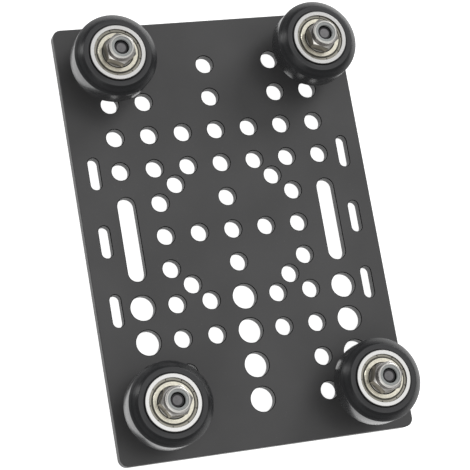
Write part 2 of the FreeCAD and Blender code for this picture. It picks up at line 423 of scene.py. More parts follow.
class Recipe:
    """A node tree while it is being filled."""

    def __init__(self, tree: bpy.types.NodeTree) -> None:
        """Takes the tree to fill."""
        self.tree = tree

    def add(self, kind: str, inputs: dict[str | int, object] | None = None, **settings: object) -> bpy.types.Node:
        """Adds a node.

        Args:
            kind: The node's type.
            inputs: Values, or output sockets to link, by the name or number of the input.
            settings: The node's own settings.

        Returns:
            The new node.
        """
        node = self.tree.nodes.new(kind)
        for key, value in settings.items():
            setattr(node, key, value)
        for key, value in (inputs or {}).items():
            if isinstance(value, Socket):
                self.tree.links.new(value, node.inputs[key])
            else:
                node.inputs[key].default_value = value
        return node

    def math(self, operation: str, first: object, second: object = 0.0, clamp: bool = False) -> Socket:
        """Adds a sum of two values and returns its result."""
        return self.add("ShaderNodeMath", {0: first, 1: second}, operation=operation, use_clamp=clamp).outputs[0]

    def mix(self, share: object, first: Socket | Colour, second: Colour) -> Socket:
        """Adds a mix of two colours and returns its result."""
        start = first if isinstance(first, Socket) else (*first, 1.0)
        return self.add("ShaderNodeMix", {0: share, 6: start, 7: (*second, 1.0)}, data_type="RGBA").outputs[2]

    def span(self, value: Socket, low: float, high: float, to_low: float = 0.0, to_high: float = 1.0) -> Socket:
        """Adds a map from one range to another and returns its result."""
        ranges = {"Value": value, "From Min": low, "From Max": high, "To Min": to_low, "To Max": to_high}
        return self.add("ShaderNodeMapRange", ranges).outputs[0]

    def noise(self, place: Socket, per_mm: float | Socket, **inputs: float) -> Socket:
        """Adds cloudy noise at a number of clouds per millimetre and returns its value."""
        scale = self.math("MULTIPLY", per_mm, 1 / MM) if isinstance(per_mm, Socket) else per_mm / MM
        return self.add("ShaderNodeTexNoise", {"Vector": place, "Scale": scale, **inputs}).outputs[0]

    def group(self, tree: bpy.types.NodeTree, *values: object) -> Socket:
        """Adds a shared group with its inputs in order and returns its mask."""
        return self.add("ShaderNodeGroup", dict(enumerate(values)), node_tree=tree).outputs[0]

    def own_place(self) -> Socket:
        """Adds the place that a point had while its piece was modelled about the Z axis."""
        return self.add("ShaderNodeAttribute", attribute_name=OWN_PLACE).outputs["Vector"]

    def radius(self, place: Socket) -> Socket:
        """Adds the distance of a place from the Z axis and returns it."""
        parts = self.add("ShaderNodeSeparateXYZ", {0: place})
        across, along = (self.math("MULTIPLY", part, part) for part in parts.outputs[:2])
        return self.math("SQRT", self.math("ADD", across, along))

    def upward(self, vector: Socket) -> Socket:
        """Adds the Z part of a vector and returns it."""
        return self.add("ShaderNodeSeparateXYZ", {0: vector}).outputs[2]

    def seen_by(self, *rays: str) -> Socket:
        """Adds a value that is 1 for the named kinds of ray and 0 for the others."""
        path = self.add("ShaderNodeLightPath")
        seen = path.outputs[rays[0]]
        for ray in rays[1:]:
            seen = self.math("MAXIMUM", seen, path.outputs[ray])
        return seen


def turned_rings(recipe: Recipe, place: Socket, rings_per_mm: Socket) -> Socket:
    """Adds the rings that a turning tool leaves round the axis and along the height of a piece."""
    step = recipe.math("ADD", recipe.radius(place), recipe.math("MULTIPLY", recipe.upward(place), 0.9))
    steps = recipe.math("MULTIPLY", recipe.math("MULTIPLY", step, 1 / MM), rings_per_mm)
    inputs = {"W": steps, "Scale": 1.0, "Detail": 2.0}
    return recipe.add("ShaderNodeTexNoise", inputs, noise_dimensions="1D").outputs[0]


def fine_grain(recipe: Recipe, place: Socket, grains_per_mm: Socket) -> Socket:
    """Adds a fine even grain, as etching leaves under an anodised layer."""
    return recipe.noise(place, grains_per_mm, Detail=3.0, Roughness=0.6)


def edge_wear(recipe: Recipe, place: Socket, edge: Socket, amount: Socket) -> Socket:
    """Adds rubbed spots along worn edges, where the edge value is 1."""
    spots = recipe.span(recipe.noise(place, 0.35, Detail=4.0), 0.45, 0.62)
    return recipe.math("MULTIPLY", recipe.math("MULTIPLY", spots, edge), amount)


def dust_specks(recipe: Recipe, place: Socket, amount: Socket) -> Socket:
    """Adds a few tiny specks of dust on faces that look up."""
    spots = recipe.span(recipe.noise(place, 2.2, Detail=1.0), 0.72, 0.8)
    facing = recipe.math("MAXIMUM", recipe.upward(recipe.add("ShaderNodeNewGeometry").outputs["Normal"]), 0.0)
    return recipe.math("MULTIPLY", recipe.math("MULTIPLY", spots, facing), amount)


def mask_group(name: str, fill: Callable[..., Socket], *values: str) -> bpy.types.NodeTree:
    """Makes a node group that takes a place and some values and gives a mask.

    Args:
        name: The group's name.
        fill: Adds the group's nodes, given its recipe and its inputs, and returns the mask.
        values: The names of the inputs after the place.

    Returns:
        The group.
    """
    tree = bpy.data.node_groups.new(name, "ShaderNodeTree")
    tree.interface.new_socket("Place", in_out="INPUT", socket_type="NodeSocketVector")
    for label in values:
        tree.interface.new_socket(label, in_out="INPUT", socket_type="NodeSocketFloat")
    tree.interface.new_socket("Mask", in_out="OUTPUT", socket_type="NodeSocketFloat")
    recipe = Recipe(tree)
    given = recipe.add("NodeGroupInput").outputs
    recipe.add("NodeGroupOutput", {"Mask": fill(recipe, *(given[label] for label in ("Place", *values)))})
    return tree


class Effects:
    """The node groups that the finishes share."""

    def __init__(self) -> None:
        """Builds each group once."""
        self.rings = mask_group("turned_rings", turned_rings, "Rings per mm")
        self.grain = mask_group("fine_grain", fine_grain, "Grains per mm")
        self.wear = mask_group("edge_wear", edge_wear, "Edge", "Amount")
        self.dust = mask_group("dust_specks", dust_specks, "Amount")


def tint(colour: Colour, factor: float) -> Colour:
    """A colour made lighter or darker by a factor."""
    return tuple(factor * value for value in colour)


@dataclass(frozen=True)
class Finish:
    """What all finishes share: one Principled shader with a tone, a roughness and a relief."""

    name: str
    colour: Colour
    # The colour of its worn, stained or scuffed places, and in a turned finish with a shade band also the colour of
    # painted shade.
    mark_and_shade: Colour = (0.11, 0.11, 0.112)
    roughness: float = 0.4
    refraction: float = 1.5
    metallic: float = 0.0
    relief: float = 0.004

    def surface(self, recipe: Recipe, effects: Effects) -> Surface:
        """Adds the finish's own nodes and returns its tone, its roughness and its height."""
        raise NotImplementedError

    def rough(self, recipe: Recipe, mask: Socket, more: float, reach: tuple[float, float] = NOISE) -> Socket:
        """Adds a roughness that follows a mask and returns it.

        Args:
            recipe: The material's recipe.
            mask: What it follows.
            more: How much rougher than its own roughness the finish gets.
            reach: The mask's values where the finish is smoothest and roughest.
        """
        return recipe.span(mask, *reach, self.roughness - 0.05, self.roughness + more)

    def material(self, effects: Effects) -> Material:
        """Builds the material."""
        material = bpy.data.materials.new(self.name)
        material.use_nodes = True
        material.node_tree.nodes.clear()
        recipe = Recipe(material.node_tree)
        tone, rough, height = self.surface(recipe, effects)
        bump = recipe.add("ShaderNodeBump", {"Strength": 1.0, "Distance": self.relief * MM, "Height": height})
        look = {"Base Color": tone, "Roughness": rough, "Normal": bump.outputs[0]}
        look |= {"Metallic": self.metallic, "IOR": self.refraction}
        shader = recipe.add("ShaderNodeBsdfPrincipled", look)
        recipe.add("ShaderNodeOutputMaterial", {"Surface": shader.outputs[0]})
        return material


@dataclass(frozen=True)
class Anodised(Finish):
    """Matt black anodised aluminium with a fine etched grain and slightly rubbed edges."""

    def surface(self, recipe: Recipe, effects: Effects) -> Surface:
        """Adds a cloudy tone under grain, rubbed edges and dust."""
        place = recipe.add("ShaderNodeTexCoord").outputs["Object"]
        edge = recipe.add("ShaderNodeAttribute", attribute_name="edge").outputs["Fac"]
        grain = recipe.group(effects.grain, place, 5.0)
        cloud = recipe.span(recipe.noise(place, 0.05, Detail=2.0), *NOISE)
        tone = recipe.mix(cloud, tint(self.colour, 0.88), tint(self.colour, 1.12))
        tone = recipe.mix(recipe.span(grain, *NOISE, 0.0, 0.16), tone, self.mark_and_shade)
        tone = recipe.mix(recipe.group(effects.wear, place, edge, 0.25), tone, self.mark_and_shade)
        tone = recipe.mix(recipe.group(effects.dust, place, 0.12), tone, (0.5, 0.5, 0.5))
        return tone, self.rough(recipe, grain, 0.07), grain


@dataclass(frozen=True)
class Acetal(Finish):
    """Turned black plastic with a satin skin and fine tool rings."""

    relief: float = 0.003

    def surface(self, recipe: Recipe, effects: Effects) -> Surface:
        """Adds a tone with lighter rings and dust."""
        place = recipe.own_place()
        rings = recipe.group(effects.rings, place, 9.0)
        grain = recipe.group(effects.grain, place, 3.0)
        tone = recipe.mix(recipe.span(rings, *NOISE, 0.0, 0.6), self.colour, tint(self.colour, 1.35))
        tone = recipe.mix(recipe.group(effects.dust, place, 0.1), tone, (0.45, 0.45, 0.45))
        both = recipe.math("ADD", rings, recipe.math("MULTIPLY", grain, 0.5))
        return tone, self.rough(recipe, both, 0.1, (0.4, 1.1)), rings


@dataclass(frozen=True)
class TurnedMetal(Finish):
    """Bare or plated metal with tool rings about its own axis."""

    roughness: float = 0.22
    metallic: float = 1.0
    relief: float = 0.0007
    rings_per_mm: float = 14.0
    streaks: float = 0.18
    # Beyond the first distance from the axis, in millimetres, the metal takes its marked colour as painted shade, and a
    # still darker painted shade up to the second.
    shade_band: Corner | None = None
    shade_band_tone: float = 0.12
    follows_own_place: bool = True

    def surface(self, recipe: Recipe, effects: Effects) -> Surface:
        """Adds a stained and streaked tone, with a band of painted shade where the finish has one."""
        own = self.follows_own_place
        place = recipe.own_place() if own else recipe.add("ShaderNodeTexCoord").outputs["Object"]
        rings = recipe.group(effects.rings, place, self.rings_per_mm)
        share, dark = recipe.span(recipe.group(effects.grain, place, 1.2), 0.42, 0.68, 0.0, 0.35), 0.0
        # Painted shade: the marked colour beyond the band's inner radius, and darker still up to its outer radius.
        if self.shade_band is not None:
            inner, outer = self.shade_band
            radius = recipe.math("MULTIPLY", recipe.radius(place), 1 / MM)
            beyond = recipe.span(radius, inner - 0.05, inner + 0.02)
            share = recipe.math("MAXIMUM", share, beyond, clamp=True)
            dark = recipe.math("MULTIPLY", beyond, recipe.span(radius, outer - 0.12, outer + 0.12, 1.0, 0.0))
        tone = recipe.mix(share, self.colour, self.mark_and_shade)
        tone = recipe.mix(dark, tone, tint(self.mark_and_shade, self.shade_band_tone))
        tone = recipe.mix(recipe.span(rings, 0.35, 0.65, 0.0, self.streaks), tone, tint(self.colour, 0.6))
        return tone, self.rough(recipe, rings, 0.08), rings


@dataclass(frozen=True)
class Nylon(Finish):
    """Blue-grey nylon, slightly scuffed by the thread."""

    def surface(self, recipe: Recipe, effects: Effects) -> Surface:
        """Adds a scuffed tone."""
        grain = recipe.group(effects.grain, recipe.own_place(), 2.5)
        tone = recipe.mix(recipe.span(grain, 0.4, 0.7, 0.0, 0.5), self.colour, self.mark_and_shade)
        return tone, self.rough(recipe, grain, 0.1), grain


FINISHES = (
    Anodised("black_anodised", (0.068, 0.0675, 0.0685), roughness=0.32, refraction=1.45),
    # The hole walls take a much darker colour than the plate: painted shade inside the holes.
    Anodised("anodised_wall_shade", (0.012, 0.012, 0.013), roughness=0.5, refraction=1.7),
    # The broken rims of holes and slots are nearly black: a painted dark outline of shade round each hole.
    Anodised("anodised_rim_shade", (0.006, 0.006, 0.0065), (0.02, 0.02, 0.02), roughness=0.6, refraction=1.15),
    Acetal("wheel_black", (0.044, 0.0445, 0.0465), roughness=0.27, refraction=1.42),
    # The bevels take a darker copy of the wheel's plastic: painted shade, as they face the darker low sky.
    Acetal("wheel_bevel_shade", (0.027, 0.0275, 0.029), roughness=0.25, refraction=1.36),
    Acetal("wheel_tread", (0.026, 0.0265, 0.028), roughness=0.24, refraction=2.0),
    TurnedMetal("ring_steel", (0.86, 0.855, 0.84), (0.78, 0.775, 0.755), 0.18),
    # The outer ring's broken edges are painted darker than its faces, to dim the key light's highlight there.
    TurnedMetal("ring_edge_shade", (0.34, 0.335, 0.33), (0.24, 0.235, 0.23), 0.42),
    # Inside the bearing, under the shields, the steel is near black: grease, and painted shade that shows through the
    # notches and the gap round the inner ring.
    TurnedMetal("grease_and_shade_steel", (0.05, 0.045, 0.04), (0.03, 0.028, 0.025), 0.35),
    # The shield's pressed step and its lower crimped rim are darkened as painted shade.
    TurnedMetal(
        "shield_steel", (0.95, 0.91, 0.765), (0.34, 0.325, 0.28), 0.28, rings_per_mm=6.0, shade_band=(5.8, 6.22)
    ),
    TurnedMetal("inner_ring_steel", (0.42, 0.41, 0.38), (0.25, 0.24, 0.22), 0.25, streaks=0.5),
    TurnedMetal("nut_steel", (0.40, 0.385, 0.37), (0.20, 0.19, 0.185), 0.16, rings_per_mm=3.0, streaks=0.8),
    # The nut's flats take a darker copy of its steel as painted shade.
    TurnedMetal("nut_flat_shade", (0.33, 0.31, 0.29), (0.13, 0.12, 0.115), 0.38, streaks=0.8),
    # The corner chamfers take a much brighter copy of the nut's steel: a painted highlight.
    TurnedMetal("nut_corner_highlight", (0.72, 0.70, 0.66), (0.56, 0.545, 0.52), 0.3, streaks=0.4),
    # The collar's lip takes a brighter copy of the nut's steel: a painted highlight all round.
    TurnedMetal("collar_lip_highlight", (0.70, 0.69, 0.66), (0.58, 0.57, 0.545), 0.32, rings_per_mm=5.0),
    TurnedMetal("screw_steel", (0.20, 0.205, 0.21), (0.12, 0.12, 0.125), 0.34),
    # The screw end is darkened from its flat out to the hole's wall as painted shade inside the nut's hole.
    TurnedMetal(
        "screw_end_steel", (0.22, 0.215, 0.22), (0.08, 0.08, 0.084), 0.4, shade_band=(1.35, 2.4), shade_band_tone=0.5
    ),
    TurnedMetal("spacer_aluminium", (0.70, 0.70, 0.71), (0.62, 0.62, 0.63), 0.3),
    TurnedMetal("spacer_steel", (0.60, 0.60, 0.60), (0.5, 0.5, 0.5), 0.28),
    TurnedMetal("ball_steel", (0.85, 0.85, 0.85), (0.8, 0.8, 0.8), 0.1, follows_own_place=False),
    TurnedMetal("cage_steel", (0.55, 0.54, 0.52), (0.5, 0.49, 0.47), follows_own_place=False),
    Nylon("nut_nylon", (0.35, 0.365, 0.36), (0.50, 0.515, 0.50)),
)


def direction(azimuth: float, elevation: float) -> Vector:
    """The unit vector towards an azimuth and elevation in degrees."""
    across, upward = math.radians(azimuth), math.radians(elevation)
    return Vector((math.cos(upward) * math.cos(across), math.cos(upward) * math.sin(across), math.sin(upward)))


# Sub-assemblies


@dataclass
class PlatePanel:
    """The flat plate with its grid of holes and slots."""

    width: float = 88.0
    length: float = 127.0
    bottom: float = 2.0
    thickness: float = 3.0
    corner_radius: float = 2.5
    edge_break: float = 0.2
    column_pitch: float = 10.15
    row_pitch: float = 10.0
    small_radius: float = 2.6
    large_radius: float = 3.6
    inner_row: float = 9.75
    diagonal: float = 14.83
    long_slot_length: float = 24.6
    tie_slot_column: float = 38.1
    tie_slot_width: float = 3.2
    tie_slot_length: float = 9.4
    tie_slot_pitch: float = 20.0
    hole_segments: int = 48
    corner_segments: int = 10

    def small_holes(self) -> list[Corner]:
        """Lists the centres of the small holes."""
        places = self._grid({5: (-3, 3, -2, 0, 2), 4: (-3, -2, 0, 2, 3), 3: range(-3, 4), 2: range(-3, 4)})
        places += self._grid({0: range(-2, 3), -2: (-2, -1, 1, 2), -3: (-2, -1, 1, 2), -4: (-2, 2), -5: (-2, 2)})
        for side in (-1, 1):
            places += [(column * self.column_pitch, side * self.inner_row) for column in (-2, 0, 2)]
            places += [(end * self.diagonal, side * self.diagonal) for end in (-1, 1)]
        return places

    def large_holes(self) -> list[Corner]:
        """Lists the centres of the large holes."""
        return self._grid({-5: (-3, 3)}) + self._grid({-2: (-3, 0, 3), -3: (-3, 0, 3), -4: (-3, 0, 3), -5: (0,)})

    def _grid(self, rows: dict[int, Sequence[int]]) -> list[Corner]:
        """Lists places of the grid, whose rows and columns are counted from the plate's middle."""
        pitch, rise = self.column_pitch, self.row_pitch
        return [(column * pitch, row * rise) for row, columns in rows.items() for column in columns]

    def _wall(self, name: str, radius: float) -> Piece:
        """Models the wall of a round hole with a broken edge at each end."""
        top, rim = self.bottom + self.thickness, self.edge_break
        upper = [(radius + rim, top), (radius, top - rim)]
        return turned_shell(name, mirrored(upper, self.bottom + top), self.hole_segments, Ends.OPEN)

    def _slot_wall(self, name: str, width: float, length: float) -> Piece:
        """Models the wall of a slot: a round hole's wall whose halves are pulled apart and bridged."""
        wall = self._wall(name, width / 2)
        reach = (length - width) / 2
        with editing(wall):
            pick(wall, Part.FACES, lambda place, normal: place.y > 0)
            bpy.ops.mesh.split()
            bpy.ops.transform.translate(value=(0, reach * MM, 0))
            pick(wall, Part.FACES, lambda place, normal: place.y < 0)
            bpy.ops.transform.translate(value=(0, -reach * MM, 0))
            for side in (-1, 1):
                pick(
                    wall,
                    Part.EDGES,
                    lambda *ends: all(abs(abs(end.y) - reach) < SAME and end.x * side > 0 for end in ends),
                )
                bpy.ops.mesh.bridge_edge_loops()
        return wall

    def build(self) -> Piece:
        """Models the plate from its outer wall and the walls of its holes and slots."""
        sides = (-1, 1)
        long_slots = [(side * 3 * self.column_pitch, 0) for side in sides]
        tie_slots = [(side * self.tie_slot_column, step * self.tie_slot_pitch) for side in sides for step in (-1, 0, 1)]
        walls = []
        for master, places in (
            (self._wall("small_hole", self.small_radius), self.small_holes()),
            (self._wall("large_hole", self.large_radius), self.large_holes()),
            (self._slot_wall("long_slot", 2 * self.small_radius, self.long_slot_length), long_slots),
            (self._slot_wall("tie_slot", self.tie_slot_width, self.tie_slot_length), tie_slots),
        ):
            walls += [placed_copy(master, master.name + "_wall", (x, y, 0)) for x, y in places]
            bpy.data.objects.remove(master)
        plate = self._slab()
        join(plate, walls)
        self._close_faces(plate)
        marks = plate.data.attributes.new("edge", "FLOAT", "FACE")
        marks.data.foreach_set("value", [float(self.is_slanted(face.normal)) for face in plate.data.polygons])
        smooth(plate)
        return plate

    def _slab(self) -> Piece:
        """Models the plate's outer wall: a block with rounded corners and broken rims, open above and below."""
        clear_selection()
        middle = self.bottom + self.thickness / 2
        bpy.ops.mesh.primitive_cube_add(size=1)
        slab = added("drilled_plate")
        with editing(slab):
            size = (self.width * MM, self.length * MM, self.thickness * MM)
            bpy.ops.transform.resize(value=size, center_override=(0, 0, 0))
            bpy.ops.transform.translate(value=(0, 0, middle * MM))
            pick(slab, Part.EDGES, lambda start, end: abs(start.z - end.z) > self.thickness / 2)
            radius, steps = self.corner_radius * MM, self.corner_segments
            bpy.ops.mesh.bevel(offset=radius, offset_type="OFFSET", segments=steps, affect="EDGES")
            pick(slab, Part.FACES, lambda place, normal: abs(normal.z) > LEVEL)
            bpy.ops.mesh.inset(thickness=self.edge_break * MM, depth=0)
        # The inset loops stay level with the faces, and the outline's loops move in to break its edges.
        faces = [face for face in slab.data.polygons if abs(face.normal.z) > LEVEL and len(face.vertices) > 4]
        kept = {index for face in faces for index in face.vertices}
        for vertex in slab.data.vertices:
            if vertex.index not in kept:
                vertex.co.z += math.copysign(self.edge_break * MM, middle * MM - vertex.co.z)
        with editing(slab):
            pick(slab, Part.FACES, lambda place, normal: abs(normal.z) > LEVEL and abs(place.x) < self.width / 4)
            bpy.ops.mesh.delete(type="ONLY_FACE")
        return slab

    def _close_faces(self, plate: Piece) -> None:
        """Fills the front and back faces between the outer wall and every hole."""
        with editing(plate):
            for height in (self.bottom, self.bottom + self.thickness):
                pick(plate, Part.EDGES, lambda *ends: all(abs(end.z - height) < SAME for end in ends))
                bpy.ops.mesh.fill(use_beauty=True)
            outward_faces()

    @staticmethod
    def is_slanted(normal: Vector) -> bool:
        """Tells whether a face is a broken edge, so that only those look rubbed."""
        return UPRIGHT < abs(normal.z) < LEVEL

    @staticmethod
    def is_wall(place: Vector, normal: Vector) -> bool:
        """Tells whether a face is cut across the plate's thickness; these walls are painted darker as shade."""
        return abs(normal.z) < UPRIGHT

    def is_hole_rim(self, place: Vector, normal: Vector) -> bool:
        """Tells whether a face is the broken edge of a hole or slot, and not of the outline; these rims are painted
        near black as a dark outline of shade.
        """
        margin = 5 * self.edge_break
        inside = abs(place.x) < self.width / 2 - margin and abs(place.y) < self.length / 2 - margin
        return inside and self.is_slanted(normal)


@dataclass
class GroovedWheel:
    """A wheel with a flat tread between two bevels, bored for a bearing at each face."""

    diameter: float = 23.9
    width: float = 10.23
    tread: float = 5.89
    bore_radius: float = 8.01
    mouth_bevel: float = 0.4
    rib_height: float = 0.8
    rib_width: float = 1.0
    softened: float = 0.09
    edge_angle: float = 28.0
    segments: int = 128

    def build(self) -> Piece:
        """Models the wheel about its middle plane."""
        half, half_tread, half_rib = self.width / 2, self.tread / 2, self.rib_width / 2
        tread_radius = self.diameter / 2
        bore, mouth = self.bore_radius, self.mouth_bevel
        upper = [(bore - self.rib_height, half_rib), (bore, half_rib), (bore, half - mouth), (bore + mouth, half)]
        upper += [(tread_radius - (half - half_tread), half), (tread_radius, half_tread)]
        wheel = turned_shell("wheel", mirrored(upper, 0), self.segments)
        break_edges(wheel, self.softened, steps=2)
        smooth(wheel, self.edge_angle)
        return wheel

    def is_tread(self, place: Vector, normal: Vector) -> bool:
        """Tells whether a face belongs to the rolling band, which the rail polishes."""
        return abs(normal.z) < 0.3 and place.xy.length > self.diameter / 2 - 0.3

    def is_bevel(self, place: Vector, normal: Vector) -> bool:
        """Tells whether a face belongs to one of the two bevels, which are painted darker than the face as shade."""
        return 0.5 < abs(normal.z) < 0.9 and place.xy.length > self.diameter / 2 - 2.5


@dataclass
class BallBearing:
    """The rings and shields of a shielded bearing, from height 0."""

    width: float = 5.0
    outer_radius: float = 8.0
    bore_radius: float = 2.52
    ring_bevel: float = 0.15
    ball_radius: float = 1.375
    race_radius: float = 5.25
    groove_depth: float = 0.5
    ball_clearance: float = 0.06
    seat_radius: float = 6.8
    seat_depth: float = 0.75
    shield_thickness: float = 0.25
    shield_recess: float = 0.15
    shield_step_inset: float = 0.35
    shield_roll: float = 0.07
    shield_gap: float = 0.2
    press_clearance: float = 0.01
    notches: int = 9
    notch_width: float = 0.28
    notch_depth: float = 0.45
    edge_angle: float = 16.0
    segments: int = 96
    groove_steps: int = 10

    @property
    def shoulder_radius(self) -> float:
        """The inner ring's outside."""
        return self.race_radius - self.ball_radius + self.groove_depth

    @property
    def land_radius(self) -> float:
        """The outer ring's inside."""
        return self.race_radius + self.ball_radius - self.groove_depth

    def is_under_shields(self, place: Vector, normal: Vector) -> bool:
        """Tells whether a face of a ring lies inside the bearing, under its shields."""
        inside = self.shoulder_radius - 0.02 < place.xy.length < self.seat_radius + 0.02
        return inside and abs(place.z - self.width / 2) < self.width / 2 - self.ring_bevel

    def is_edge(self, place: Vector, normal: Vector) -> bool:
        """Tells whether a face belongs to the broken edges of the outer ring, which are painted darker, and rougher, to
        dim their highlight.
        """
        return place.xy.length > self.outer_radius - self.ring_bevel and abs(normal.z) < 0.99

    def groove(self, wall_radius: float, outward: int) -> list[Corner]:
        """Lists the corners of a ball groove's arc, from the bottom up.

        Args:
            wall_radius: The radius of the wall that the groove is cut into.
            outward: 1 where the groove goes away from the axis, -1 where it goes towards it.

        Returns:
            (radius, height) corners.
        """
        radius = self.ball_radius + self.ball_clearance
        reach = math.acos(outward * (wall_radius - self.race_radius) / radius)
        middle, corners = self.width / 2, []
        for step in range(self.groove_steps + 1):
            angle = reach * (2 * step / self.groove_steps - 1)
            corners.append((self.race_radius + outward * radius * math.cos(angle), middle + radius * math.sin(angle)))
        return corners

    def _ring(self, name: str, groove: list[Corner], upper: list[Corner]) -> Piece:
        """Models a ring from its ball groove and the upper half of the rest of its profile."""
        ring = turned_shell(name, groove + mirrored(upper, self.width), self.segments)
        smooth(ring, self.edge_angle)
        return ring

    def build_outer_ring(self) -> Piece:
        """Models the outer ring."""
        top, bevel, land = self.width, self.ring_bevel, self.land_radius
        ledge, outer = self.seat_radius, self.outer_radius
        upper = [(land, top - self.seat_depth), (ledge, top - self.seat_depth), (ledge, top - bevel / 2)]
        upper += [(ledge + bevel / 2, top), (outer - bevel, top), (outer - bevel / 4, top - bevel / 4)]
        return self._ring("outer_ring", self.groove(land, 1), [*upper, (outer, top - bevel)])

    def build_inner_ring(self) -> Piece:
        """Models the inner ring."""
        top, bevel, shoulder, bore = self.width, self.ring_bevel, self.shoulder_radius, self.bore_radius
        upper = [(shoulder, top - bevel), (shoulder - bevel / 4, top - bevel / 4), (shoulder - bevel, top)]
        return self._ring("inner_ring", self.groove(shoulder, -1), [*upper, (bore + bevel, top), (bore, top - bevel)])

    def build_shields(self) -> Piece:
        """Models both shields as one piece: a crimped rim, a pressed step and a flat disc, each side."""
        floor, face = self.width - self.seat_depth, self.width - self.shield_recess
        rim = self.seat_radius - self.press_clearance
        step = self.land_radius - self.shield_step_inset
        hole = self.shoulder_radius + self.shield_gap
        thick, roll = self.shield_thickness, self.shield_roll
        profile = [(rim, floor), (rim, floor + thick), (step + roll, floor + thick), (step, floor + thick + roll)]
        profile += [(step, face - roll), (step - roll, face), (hole + roll, face), (hole, face - roll)]
        profile += [(hole, face - thick), (step - thick, face - thick), (step - thick, floor)]
        shield = turned_shell("upper_shield", profile, self.segments + self.notches * 4)
        combine(shield, self._notches(rim), Cut.AWAY)
        smooth(shield)
        lower = placed_copy(shield, "lower_shield", (0, 0, 0))
        lower.data.transform(Matrix.Translation((0, 0, self.width * MM)) @ Matrix.Scale(-1, 4, (0, 0, 1)))
        with editing(lower):
            bpy.ops.mesh.normals_make_consistent(inside=False)
        join(shield, [lower])
        clear_selection()
        return shield

    def _notches(self, rim: float) -> Piece:
        """Models the cutters of the crimped rim's notches, as one piece."""
        clear_selection()
        bpy.ops.mesh.primitive_cube_add(size=1)
        cutter = added("notch_cutter")
        with editing(cutter):
            size = (2 * self.notch_depth * MM, self.notch_width * MM, self.width * MM)
            bpy.ops.transform.resize(value=size, center_override=(0, 0, 0))
            bpy.ops.transform.translate(value=(rim * MM, 0, self.width * MM))
            step = math.radians(360 / self.notches)
            for _ in range(self.notches - 1):
                bpy.ops.mesh.duplicate_move()
                bpy.ops.transform.rotate(value=step, orient_axis="Z", center_override=(0, 0, 0))
        return cutter


@dataclass
class LockNut:
    """A hexagonal lock nut from height 0, with a round collar over a soft ring."""

    across_flats: float = 8.0
    height: float = 4.8
    hex_height: float = 3.4
    corner_angle: float = 30.0
    base_angle: float = 12.0
    collar_radius: float = 3.55
    collar_wall: float = 0.6
    collar_rounding: float = 0.25
    collar_land: float = 0.06
    insert_height: float = 1.15
    insert_recess: float = 0.12
    insert_mouth_radius: float = 2.15
    insert_rounding: float = 0.12
    bore_radius: float = 2.52
    screw_end_recess: float = 1.0
    screw_gap: float = 0.02
    press_clearance: float = 0.01
    edge_angle: float = 20.0
    segments: int = 72

    def is_lip(self, place: Vector, normal: Vector) -> bool:
        """Tells whether a face belongs to the collar's rolled lip, painted brighter than the nut as its highlight."""
        return place.z > self.height - self.collar_rounding - 0.02 and normal.z > 0.1

    def is_flat(self, place: Vector, normal: Vector) -> bool:
        """Tells whether a face is one of the six flats, which are rougher and painted darker as shade."""
        low = place.z < self.hex_height / 2 + 0.4
        return low and abs(normal.z) < UPRIGHT and place.xy.length > self.collar_radius

    def is_corner(self, place: Vector, normal: Vector) -> bool:
        """Tells whether a face belongs to the chamfer round the upper corners, which is painted brighter as a
        highlight.
        """
        return 0.7 < normal.z < LEVEL and place.z < self.hex_height and place.xy.length > self.collar_radius

    def build_nut(self) -> Piece:
        """Models the steel nut with its rolled collar lip."""
        angles = (self.base_angle, self.corner_angle)
        nut = chamfered_hexagon("lock_nut", self.across_flats, (0, self.hex_height), angles, self.segments)
        top, lip, outside = self.height, self.collar_rounding, self.collar_radius
        inside = outside - self.collar_wall
        floor = top - self.insert_recess - self.insert_height
        part = lip * ROUNDING_SHARE
        collar = [(outside, self.hex_height - chamfer_drop(self.across_flats, self.corner_angle)), (outside, top - lip)]
        collar += [(outside - part, top - part), (outside - lip, top), (inside + self.collar_land, top)]
        bore = [(self.bore_radius, -BEYOND), (self.bore_radius, floor), (inside, floor), (inside, top + BEYOND)]
        combine(nut, turned_shell("nut_collar", collar, self.segments, Ends.CAPPED), Cut.ONTO)
        combine(nut, turned_shell("nut_bore", bore, self.segments, Ends.CAPPED), Cut.AWAY)
        smooth(nut, self.edge_angle)
        return nut

    def build_insert(self) -> Piece:
        """Models the soft ring with a rounded mouth."""
        outer = self.collar_radius - self.collar_wall - self.press_clearance
        top = self.height - self.insert_recess
        bottom = top - self.insert_height
        lip = self.height - self.screw_end_recess + self.screw_gap
        mouth, rounding = self.insert_mouth_radius, self.insert_rounding
        part = rounding * ROUNDING_SHARE
        profile = [(self.bore_radius, bottom), (outer, bottom)]
        profile += [(outer, top - rounding / 2), (outer - rounding / 2, top)]
        profile += [(mouth + rounding, top), (mouth + part, top - part), (mouth, top - rounding)]
        profile += [(mouth, lip), (self.bore_radius, lip)]
        ring = turned_shell("nut_insert", profile, self.segments)
        smooth(ring)
        return ring


